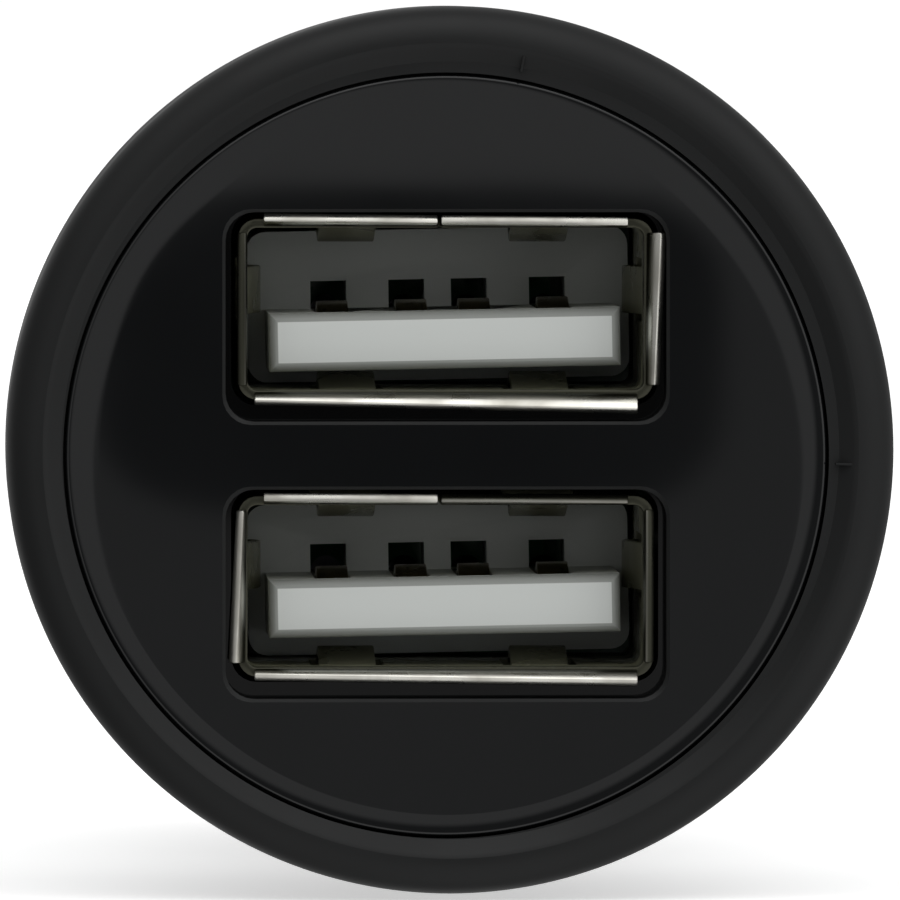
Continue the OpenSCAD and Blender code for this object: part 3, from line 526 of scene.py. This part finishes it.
def port_shell(name, top_flare, right_flare, bottom_flare, left_flare):
    """The whole shell, about the port's own middle; each lip flares from its first value to its second."""
    top, side = shell_h / 2, shell_w / 2
    parts = [walls_of_shell()]
    for x in (-finger_x, finger_x):
        for turn in (0, 180):
            parts.append(place(finger(top, finger_w), (x, 0, 0), turn))
    for turn in (90, -90):
        parts.append(place(finger(side, side_finger_w), (0, 0, side_finger_z), turn))
    half, half_side = side - 0.8, top - 0.45
    middle_flare = sum(top_flare) / 2
    parts.append(lip(top, -half, seam_x - seam_w / 2, top_flare[0], middle_flare))
    parts.append(lip(top, seam_x + seam_w / 2, half, middle_flare, top_flare[1]))
    parts.append(place(lip(top, 0.5 - side, side - 0.5, *bottom_flare), turn=180))
    parts.append(place(lip(side, -half_side, half_side, *right_flare), turn=90))
    parts.append(place(lip(side, -half_side, half_side, *left_flare), turn=-90))
    for x in (-1, 1):
        near, far = sorted((x * side, x * (side - sheet)))
        parts.append(block("tab", (near, shell_floor - 0.1, -tab_half), (far, tab_end, tab_half), 0.05))
    return join(name, parts)


def drawn_metal():
    """The skin of rolled or drawn metal: faint lines along the axis, smudges, and painted shade deeper in.

    The metal is painted darker from the first of the two given depths to the second, and a dull olive painted
    shade lies beyond the second. Where both depths are left at 0 there is no painted shade."""
    tree, given, put = group(
        "drawn_metal", ["Color", "Gloss", "Line Depth", "Tarnish", "Bright To", "Dull From"],
        ["Color", "Roughness", "Metallic", "Normal"])
    place_on = tree.nodes.new("ShaderNodeTexCoord").outputs["Object"]
    stretch = node(tree, "Mapping", {"Vector": place_on, "Scale": (1.0, 0.06, 1.0)})
    lines = node(tree, "TexNoise", {"Vector": stretch.outputs["Vector"], "Scale": 9000.0, "Detail": 3.0})
    smudge = node(tree, "TexNoise", {"Vector": place_on, "Scale": 420.0, "Detail": 4.0, "Distortion": 0.6})
    uneven = node(tree, "MapRange", {"Value": smudge.outputs["Fac"], "From Min": 0.3, "From Max": 0.7,
                                     "To Min": -0.07, "To Max": 0.12})
    rough = node(tree, "Math", {0: given["Gloss"], 1: uneven.outputs["Result"]},
                 operation="ADD", use_clamp=True)
    dull = node(tree, "MapRange", {"Value": smudge.outputs["Fac"], "From Min": 0.45, "From Max": 0.75,
                                   "To Min": 0.0, "To Max": given["Tarnish"]})
    stained = blend(tree, dull.outputs["Result"], given["Color"], (0.14, 0.12, 0.08, 1))
    # painted shade: from the first given depth to the second, the metal's colour is blended to dark
    depth = node(tree, "SeparateXYZ", {0: place_on}).outputs["Y"]
    painted_depth_shade = node(tree, "MapRange", {"Value": depth, "From Min": given["Bright To"],
                                   "From Max": given["Dull From"]})
    shaded = blend(tree, painted_depth_shade.outputs["Result"], stained, (0.05, 0.05, 0.038, 1))
    # beyond the second depth an olive colour is painted in and the metal is made mostly non-metallic: more
    # painted shade
    root = node(tree, "Math", {0: given["Dull From"], 1: 2 * mm}, operation="ADD").outputs[0]
    olive_shade_ramp = node(tree, "MapRange", {"Value": depth, "From Min": given["Dull From"], "From Max": root})
    olive_painted_shade = node(tree, "Math", {0: olive_shade_ramp.outputs["Result"], 1: painted_depth_shade.outputs["Result"]}, operation="MULTIPLY")
    colour = blend(tree, olive_painted_shade.outputs[0], shaded, (0.2, 0.2, 0.135, 1))
    bare = node(tree, "Math", {0: olive_painted_shade.outputs[0], 1: -0.8, 2: 1.0}, operation="MULTIPLY_ADD")
    bump = node(tree, "Bump", {"Strength": 1.0, "Distance": given["Line Depth"],
                               "Height": lines.outputs["Fac"]})
    tree.links.new(colour, put["Color"])
    tree.links.new(rough.outputs[0], put["Roughness"])
    tree.links.new(bare.outputs[0], put["Metallic"])
    tree.links.new(bump.outputs["Normal"], put["Normal"])
    return tree


metal = drawn_metal()
# the shell's nickel is painted with shade from just in front of its mouth inwards; lips that stand less far
# out fall into it and are painted dark
nickel = material(
    "nickel plate", metal,
    {"Color": (0.72, 0.71, 0.65, 1), "Gloss": 0.27, "Line Depth": 1e-6, "Tarnish": 0.5,
     "Bright To": (mouth_y - 0.26) * mm, "Dull From": (mouth_y - 0.14) * mm})
nickel.node_tree.links.new(nickel.node_tree.nodes["Group"].outputs["Metallic"],
                           nickel.node_tree.nodes["Principled BSDF"].inputs["Metallic"])
upper_flares = (0.2, 0.06), (0.45, 0.22), (0.5, 0.2), (0.03, 0.03)
lower_flares = (0.12, 0.02), (0.04, 0.03), (0.35, 0.14), (0.35, 0.08)
for port, side, flares in (("upper", 1, upper_flares), ("lower", -1, lower_flares)):
    shell = port_shell(f"{port}_shell", *flares)
    place(shell, (shift_x, 0, shift_z + port_rise + side * port_up))
    smooth(shell, 30)
    wear(shell, nickel)
    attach(shell, "charger")
    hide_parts(f"{port}_port_shell")

# In each shell is one moulding of off-white plastic: a back plate with four windows, and the tongue
# that carries the contacts in its grooves. It sits turned a little in its shell.
tongue_w, tongue_t = 11.1, 1.84
upper_top, lower_top = -0.07, 0.25
tongue_y, back_y = mouth_y + 1.4, mouth_y + 9.4
tongue_turn, tongue_bevel = -1.1, 0.27
back_w, back_h, back_corner = 12.2, 4.82, 0.6
contact_places = (-3.5, -1, 1, 3.5)
window_w, window_h, groove, groove_from = 1.15, 0.88, 0.3, 0.9


def port_insulator(name, tongue_top):
    """The moulding of one port, about the port's own middle, with its tongue's top at a height."""
    body = rounded_prism("body", back_w, back_h, back_corner, shell_floor, back_y)
    finished(body)
    half = tongue_w / 2
    tongue = block("tongue", (-half, tongue_y, tongue_top - tongue_t), (half, back_y + 1, tongue_top))
    select(tongue)
    bpy.ops.object.mode_set(mode="EDIT")
    bpy.ops.mesh.select_all(action="DESELECT")
    bpy.ops.mesh.select_mode(type="FACE")
    bpy.ops.object.mode_set(mode="OBJECT")
    for face in tongue.data.polygons:
        face.select = face.normal.y < -0.9
    bpy.ops.object.mode_set(mode="EDIT")
    bpy.ops.mesh.bevel(offset=tongue_bevel * mm, segments=4, affect="EDGES")
    bpy.ops.object.mode_set(mode="OBJECT")
    combine(body, tongue, "UNION")
    for x in contact_places:
        left, right, bottom = x - window_w / 2, x + window_w / 2, tongue_top - groove
        cut(body, block("window", (left, back_y - 1, bottom), (right, 0, tongue_top + window_h)),
            block("groove", (left, tongue_y + groove_from, bottom), (right, back_y, tongue_top + 1)))
    break_edges(body, 0.05, 40)
    body.name = name
    return body


off_white = moulded("off-white port plastic", (0.76, 0.79, 0.765), gloss=0.42, grain=3000.0, depth=3e-6,
                    dust=0.1)
# a darker copy of the off-white plastic: painted shade for the tongue's front bevel
tongue_edge_shade = moulded("tongue edge painted shade", (0.36, 0.375, 0.355), gloss=0.55, grain=3000.0, depth=3e-6,
                      dust=0.1, specular=0.4)
for port, side, tongue_top in (("upper", 1, upper_top), ("lower", -1, lower_top)):
    tongue = port_insulator(f"{port}_tongue", tongue_top)
    place(tongue, (shift_x, 0, shift_z + port_rise + side * port_up), tongue_turn)
    smooth(tongue, 30)
    wear(tongue, off_white)
    tongue.data.materials.append(tongue_edge_shade)
    # the bevel round the tongue's front is painted grey, as painted shade
    for face in tongue.data.polygons:
        if face.center.y < (tongue_y + tongue_bevel + 0.01) * mm and face.normal.y > -0.98:
            face.material_index = 1
    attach(tongue, "charger")
    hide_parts(f"{port}_port_insulator")

# Four gilt contacts lie in each tongue's grooves. They are stamped strips, so their edges are only
# just broken.
def bare_metal(name, colour, gloss, depth, tarnish):
    """A metal without a film: its lines' depth is in metres, and tarnish is the share of the stains."""
    values = {"Color": (*colour, 1), "Gloss": gloss, "Line Depth": depth, "Tarnish": tarnish}
    return material(name, metal, values, Metallic=1.0)


def edged(name, finish, edge=0.04):
    """A merged copy of a CAD node with its edges broken, in its own finish."""
    piece = bpy.data.objects.new(name + "_edged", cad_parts[name].data.copy())
    bpy.context.collection.objects.link(piece)
    select(piece)
    bpy.ops.object.mode_set(mode="EDIT")
    bpy.ops.mesh.select_all(action="SELECT")
    bpy.ops.mesh.remove_doubles(threshold=0.0005 * mm)
    bpy.ops.mesh.dissolve_limited(angle_limit=math.radians(0.5))
    bpy.ops.object.mode_set(mode="OBJECT")
    break_edges(piece, edge, 40)
    smooth(piece)
    wear(piece, finish)
    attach(piece, "charger")
    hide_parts(name)


# the gilt is given a dark, dull colour: painted shade for contacts that lie deep in the grooves
gilt = bare_metal("gilt contact", (0.24, 0.18, 0.09), gloss=0.2, depth=1e-6, tarnish=0.8)
for port in ("upper", "lower"):
    for place_number in range(1, len(contact_places) + 1):
        edged(f"{port}_contact_{place_number}", gilt)

# The round port board and the upright main board are sheets of green laminate, sawn to their outlines.
# The copper under the lacquer is a shade lighter and a little raised.
def tracked_laminate():
    """The skin of a lacquered board: fields of copper with narrow gaps between them, over the weave."""
    tree, given, put = group("tracked_laminate", ["Color", "Copper Color"], ["Color", "Roughness", "Normal"])
    place_on = tree.nodes.new("ShaderNodeTexCoord").outputs["Object"]
    fields = node(tree, "TexVoronoi", {"Vector": place_on, "Scale": 430.0}, distance="CHEBYCHEV")
    copper_here = node(tree, "MapRange", {"Value": fields.outputs["Distance"], "From Min": 0.47,
                                          "From Max": 0.44})
    weave = node(tree, "TexNoise", {"Vector": place_on, "Scale": 2600.0, "Detail": 2.0})
    shade = node(tree, "MapRange", {"Value": weave.outputs["Fac"], "To Min": 0.0, "To Max": 0.25})
    base = blend(tree, shade.outputs["Result"], given["Color"], (0.03, 0.14, 0.06, 1))
    colour = blend(tree, copper_here.outputs["Result"], base, given["Copper Color"])
    rough = node(tree, "MapRange", {"Value": weave.outputs["Fac"], "To Min": 0.2, "To Max": 0.42})
    raised = node(tree, "Math", {0: weave.outputs["Fac"], 1: 0.15, 2: copper_here.outputs["Result"]},
                  operation="MULTIPLY_ADD")
    bump = node(tree, "Bump", {"Strength": 1.0, "Distance": 8e-6, "Height": raised.outputs[0]})
    tree.links.new(colour, put["Color"])
    tree.links.new(rough.outputs["Result"], put["Roughness"])
    tree.links.new(bump.outputs["Normal"], put["Normal"])
    return tree


laminate = material(
    "green laminate", tracked_laminate(),
    {"Color": (0.008, 0.06, 0.024, 1), "Copper Color": (0.02, 0.12, 0.045, 1)})
for board in ("port_board", "main_board"):
    edged(board, laminate, 0.05)

# The converter's parts are soldered to the boards: a coil on its ferrite core, two capacitor cans, chips in
# black epoxy and small ceramic parts. Brass straps lead to the side springs, and a brass rivet to the pin.
brass = bare_metal("brass strip", (0.72, 0.52, 0.2), gloss=0.3, depth=1e-6, tarnish=0.4)
copper = bare_metal("enamelled copper", (0.62, 0.24, 0.1), gloss=0.22, depth=2e-6, tarnish=0.2)
can_metal = bare_metal("capacitor can", (0.5, 0.52, 0.55), gloss=0.3, depth=1e-6, tarnish=0.1)
ferrite = moulded("ferrite", (0.03, 0.03, 0.032), gloss=0.6, grain=6000.0, depth=6e-6, dust=0.0)
epoxy = moulded("black epoxy", (0.016, 0.016, 0.017), gloss=0.5, grain=5000.0, depth=4e-6, dust=0.0)
ceramic = moulded("ceramic", (0.3, 0.19, 0.1), gloss=0.45, grain=4000.0, depth=2e-6, dust=0.0)
for name, finish, slot in (
        ("inductor_core", ferrite, "ferrite"), ("inductor_winding", copper, "copper_wire"),
        ("input_capacitor", can_metal, "capacitor_can"), ("output_capacitor", can_metal, "capacitor_can"),
        ("converter_chip", epoxy, "chip_moulding"), ("port_chip", epoxy, "chip_moulding"),
        ("rectifier_diode", epoxy, "chip_moulding"), ("input_fuse", ceramic, "ceramic"),
        ("chip_resistors", epoxy, "chip_moulding"), ("ceramic_capacitors", ceramic, "ceramic"),
        ("left_ground_strap", brass, "brass_strip"), ("right_ground_strap", brass, "brass_strip"),
        ("spring_seat", brass, "brass_strip")):
    edged(name, finish)

# A bowed strip of nickel-plated spring steel stands out of each slot. Its curled foot rocks in the hook,
# and its free end slides inside the barrel.
spring_w, spring_t = 4.0, 0.4
seat_x = pivot_x + curl_r
bow_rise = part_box("right_ground_spring")[1].x / mm - seat_x
bow_len, tail_len = 20.0, 2.6
curl_steps, curl_degrees = 14, 280
bow_steps = 40
spring_path = []
for i in range(curl_steps + 1):
    turn = math.radians(curl_degrees * (i / curl_steps - 1))
    spring_path.append((pivot_y + curl_r * math.sin(turn), pivot_x + curl_r * math.cos(turn)))
for i in range(1, bow_steps + 1):
    along = i / bow_steps
    spring_path.append((pivot_y + bow_len * along, seat_x + bow_rise * math.sin(math.pi * along) ** 2))
tail_end = pivot_y + bow_len + tail_len
spring_path += [(tail_end - 0.6, seat_x), (tail_end - 0.3, seat_x - 0.08), (tail_end, seat_x - 0.3)]
right_spring = place(strip("right_spring_strip", spring_path, spring_w, spring_t, 0.08), turn=90)
left_spring = place(copy(right_spring, "left_spring_strip"), turn=180)
spring_steel = bare_metal("nickel-plated spring steel", (0.6, 0.59, 0.56), gloss=0.26, depth=1.5e-6,
                          tarnish=0.35)
for piece, side in ((right_spring, "right"), (left_spring, "left")):
    smooth(piece)
    wear(piece, spring_steel)
    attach(piece, f"{side}_spring")
    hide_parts(f"{side}_ground_spring")

# The nose cap is a ring of black plastic that screws onto the spigot and keeps the pin in. Shallow flutes
# round its skirt give the fingers a grip.
cap_low, cap_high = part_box("nose_cap")
cap_r, cap_y, cap_end = 9.7, cap_low.y / mm, cap_high.y / mm
cap_tip_r, cap_bore_r, cap_floor = 6.3, 3.95, 35.6
cap_bore_edge = 0.2
thread_r = spigot_r + 0.1
skirt_end = cap_y + 2
nose = []
for i in range(curve_steps + 1):
    turn = math.pi / 2 * i / curve_steps
    nose.append((skirt_end + (cap_end - skirt_end) * math.sin(turn),
                 cap_tip_r + (cap_r - cap_tip_r) * math.cos(turn)))
cap_outline = (
    [(cap_y, thread_r)]
    + arc(cap_y + moulded_edge, cap_r - moulded_edge, moulded_edge, 180, 90, 5) + nose
    + [(cap_end, cap_bore_r + cap_bore_edge), (cap_end - cap_bore_edge, cap_bore_r)]
    + [(cap_floor, cap_bore_r), (cap_floor, thread_r), (cap_y, thread_r)]
)
cap = turned("fluted_nose_cap", cap_outline, steps=288)
flute_r, flute_len, flute_from, flute_out, flutes = 0.7, 9, 0.6, 0.45, 24
bpy.ops.mesh.primitive_cylinder_add(vertices=24, radius=flute_r * mm, depth=flute_len * mm,
                                    rotation=(math.pi / 2, 0, 0))
cutter = place(bpy.context.object, (cap_r + flute_out, cap_y + flute_from + flute_len / 2, 0))
cutters = [cutter]
for i in range(1, flutes):
    cutters.append(place(copy(cutter, "flute"), turn=360 / flutes * i))
cut(cap, join("flutes", cutters))
smooth(cap)
cap_black = moulded("black cap plastic", (0.014, 0.0145, 0.015), gloss=0.4, grain=4200.0, depth=5e-6,
                    dust=0.04)
wear(cap, cap_black)
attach(cap, "charger")
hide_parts("nose_cap")

# The contact pin is turned from brass and plated bright. Its back is hollow for its spring, and its
# flange rests against the inside of the cap.
pin_r, pin_bore_r, flange_r = 3.8, 3.0, 5.0
flange_y, pin_tip = (corner.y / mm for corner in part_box("centre_pin"))
flange_chamfer, flange_edge = 0.2, 0.1
dome_h = 2.4
pin_bore_end = 39.5
dome = []
for i in range(curve_steps + 1):
    turn = math.pi / 2 * i / curve_steps
    dome.append((pin_tip - dome_h + dome_h * math.sin(turn), pin_r * math.cos(turn)))
pin_outline = (
    [(pin_bore_end, 0), (pin_bore_end, pin_bore_r), (flange_y, pin_bore_r)]
    + [(flange_y, flange_r - flange_chamfer), (flange_y + flange_chamfer, flange_r)]
    + [(cap_floor - flange_edge, flange_r), (cap_floor, flange_r - flange_edge)]
    + [(cap_floor, pin_r)] + dome
)
pin = turned("contact_pin_body", pin_outline, steps=128)
smooth(pin)
plated = bare_metal("plated pin", (0.68, 0.64, 0.56), gloss=0.18, depth=8e-7, tarnish=0.25)
wear(pin, plated)
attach(pin, "contact_pin")
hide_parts("centre_pin")

# The pin's spring is a coil of round steel wire, plated like the side springs. It stands on the rivet and
# reaches the bottom of the pin's bore.
wire_r, coil_r, coil_turns, steps_per_turn = 0.3, 2.4, 6.5, 28
coil_from, coil_to = (corner.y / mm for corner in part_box("pin_spring"))
bpy.ops.object.select_all(action="DESELECT")
bpy.ops.mesh.primitive_circle_add(vertices=12, radius=wire_r * mm, fill_type="NGON")
coil = place(bpy.context.object, (coil_r, coil_from + wire_r, 0))
coil.name = "pin_coil"
coil_steps = int(steps_per_turn * coil_turns)
apply_modifier(coil, "SCREW", angle=math.tau * coil_turns,
               screw_offset=(coil_to - coil_from - 2 * wire_r) * mm, axis="Y", steps=coil_steps,
               render_steps=coil_steps, use_merge_vertices=False)
select(coil)
bpy.ops.object.mode_set(mode="EDIT")
finished(coil)
smooth(coil, 60)
wear(coil, spring_steel)
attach(coil, "charger")
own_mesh(coil)
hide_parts("pin_spring")

# The floor is a wide sheet of pale paper that lies a hair below the head. It glows a little in the
# camera's eyes alone, so that it joins the white backdrop.
floor_z = cad_box[0].z / mm - 0.2
bpy.ops.object.select_all(action="DESELECT")
bpy.ops.mesh.primitive_plane_add(size=6)
floor = place(bpy.context.object, (0, 0, floor_z))
floor.name = "floor"
floor.visible_glossy = False
floor.visible_diffuse = False
pale = bpy.data.materials.new("pale floor")
pale.use_nodes = True
pale_tree = pale.node_tree
pale_shader = pale_tree.nodes["Principled BSDF"]
pale_shader.inputs["Roughness"].default_value = 0.7
pale_coords = pale_tree.nodes.new("ShaderNodeTexCoord").outputs["Object"]
mottle = node(pale_tree, "TexNoise", {"Vector": pale_coords, "Scale": 40.0, "Detail": 2.0})
paper = blend(pale_tree, mottle.outputs["Fac"], (0.9, 0.9, 0.9, 1), (0.92, 0.92, 0.92, 1))
pale_tree.links.new(paper, pale_shader.inputs["Base Color"])
pale_tree.links.new(paper, pale_shader.inputs["Emission Color"])
seen_floor = node(pale_tree, "Math", {0: pale_tree.nodes.new("ShaderNodeLightPath").outputs["Is Camera Ray"],
                                      1: 0.6}, operation="MULTIPLY")
pale_tree.links.new(seen_floor.outputs[0], pale_shader.inputs["Emission Strength"])
floor.data.materials.append(pale)

# The camera looks almost straight at the face, from a little above and to the left. Its long lens fills
# nearly the whole frame with the head, as in the photo.
eye_away, eye_left, eye_up = 600, 16.2, 14.7
target = Vector((0, rim_y + rim_round, 0)) * mm
eye = target + Vector((-eye_left, -eye_away, eye_up)) * mm
frame_share = 888 / 900
sensor_w = 36
lens_data = bpy.data.cameras.new("camera")
camera = bpy.data.objects.new("camera", lens_data)
bpy.context.collection.objects.link(camera)
camera.location = eye
camera.rotation_mode = "QUATERNION"
camera.rotation_quaternion = (target - eye).to_track_quat("-Z", "Y")
lens_data.sensor_width = sensor_w
lens_data.lens = sensor_w * (target - eye).length * frame_share / (2 * head_r * mm)
bpy.context.scene.camera = camera

# The light is soft and white: a large panel above and in front, a weak one to the right, and a dim room. The
# glossy plate mirrors the room behind the viewer: a lit wall above and round the sides, dimmer below, and
# the viewer's shadow. The way in which a ray leaves the plate gives the spot on it, in millimetres.
bpy.context.scene.view_settings.view_transform = "Standard"
world = bpy.data.worlds.new("studio")
world.use_nodes = True
bpy.context.scene.world = world
sky = world.node_tree
sky.nodes.clear()


def calc(operation, *values):
    """A sum in the sky's nodes."""
    return node(sky, "Math", dict(enumerate(values)), operation=operation).outputs[0]


def step_up(value, start, end):
    """0 below the start and 1 beyond the end, with a soft step between."""
    return node(sky, "MapRange", {"Value": value, "From Min": start, "From Max": end},
                interpolation_type="SMOOTHSTEP").outputs["Result"]


def off_middle(value, middle, half, power):
    """How far a value is from a middle, as a share of the half width, raised to a power."""
    share = calc("DIVIDE", calc("ADD", value, -middle), half)
    return calc("POWER", calc("ABSOLUTE", share), power)


way = node(sky, "SeparateXYZ", {0: sky.nodes.new("ShaderNodeTexCoord").outputs["Generated"]}).outputs
ahead = calc("MULTIPLY", way["Y"], -1.0)
near = calc("MAXIMUM", ahead, 0.01)
mirror_x = calc("MULTIPLY_ADD", calc("DIVIDE", way["X"], near), eye_away, -eye_left)
mirror_z = calc("MULTIPLY_ADD", calc("DIVIDE", way["Z"], near), eye_away, eye_up)
shadow_x, shadow_z, shadow_half_w, shadow_half_h, shadow_depth = -1.3, 3.1, 9.9, 5.2, 0.85
from_shadow = calc("ADD", off_middle(mirror_x, shadow_x, shadow_half_w, 4.0),
                   off_middle(mirror_z, shadow_z, shadow_half_h, 4.0))
shadow = calc("MULTIPLY", step_up(from_shadow, 1.25, 0.8), shadow_depth)
wall_x, wall_z, wall_r, wall_foot = 0.3, -3.5, 13.3, 8.2
squared = calc("ADD", off_middle(mirror_x, wall_x, 1.0, 2.0), off_middle(mirror_z, wall_z, 1.0, 2.0))
beyond = calc("ADD", calc("SQRT", squared), -wall_r)
wall = step_up(calc("MAXIMUM", beyond, calc("ADD", mirror_z, -wall_foot)), -0.25, 0.25)
wall_light, viewer_light = 0.24, 0.26
behind_viewer = calc("MULTIPLY", calc("MULTIPLY_ADD", wall, wall_light, viewer_light),
                     calc("SUBTRACT", 1.0, shadow))
near_axis = step_up(ahead, 0.988, 0.994)
ring = calc("MULTIPLY", step_up(ahead, 0.985, 0.9), step_up(ahead, -0.5, 0.3))
ceiling = step_up(way["Z"], 0.2, 0.9)
to_left = step_up(way["X"], -0.15, -0.85)
side_light, ceiling_light, left_loss = 0.75, 0.4, -0.55
level = calc("MULTIPLY_ADD", to_left, left_loss, calc("MULTIPLY_ADD", ceiling, ceiling_light, side_light))
back_light, dim_light = 0.5, 0.1
behind_plug = calc("MULTIPLY_ADD", step_up(ahead, -0.15, -0.75), back_light, dim_light)
around = calc("MULTIPLY_ADD", level, ring, behind_plug)
strength = calc("MULTIPLY_ADD", behind_viewer, near_axis,
                calc("MULTIPLY", around, calc("SUBTRACT", 1.0, near_axis)))
room = node(sky, "Background", {"Color": (1, 1, 1, 1), "Strength": strength})
backdrop = node(sky, "Background", {"Color": (1, 1, 1, 1), "Strength": 1.05})
is_seen = sky.nodes.new("ShaderNodeLightPath").outputs["Is Camera Ray"]
either = node(sky, "MixShader", {0: is_seen, 1: room.outputs[0], 2: backdrop.outputs[0]})
node(sky, "OutputWorld", {"Surface": either.outputs[0]})


def panel(name, at, size, power):
    """A soft panel of light that faces the plug."""
    light = bpy.data.lights.new(name, "AREA")
    light.shape = "RECTANGLE"
    light.size, light.size_y = size
    light.energy = power
    lamp = bpy.data.objects.new(name, light)
    bpy.context.collection.objects.link(lamp)
    lamp.location = at
    lamp.rotation_mode = "QUATERNION"
    lamp.rotation_quaternion = (-lamp.location).to_track_quat("-Z", "Y")


panel("top_panel", (0, -0.3, 0.65), (1.0, 0.5), 0.8)
panel("right_panel", (0.6, -0.35, 0.2), (0.4, 0.4), 0.1)
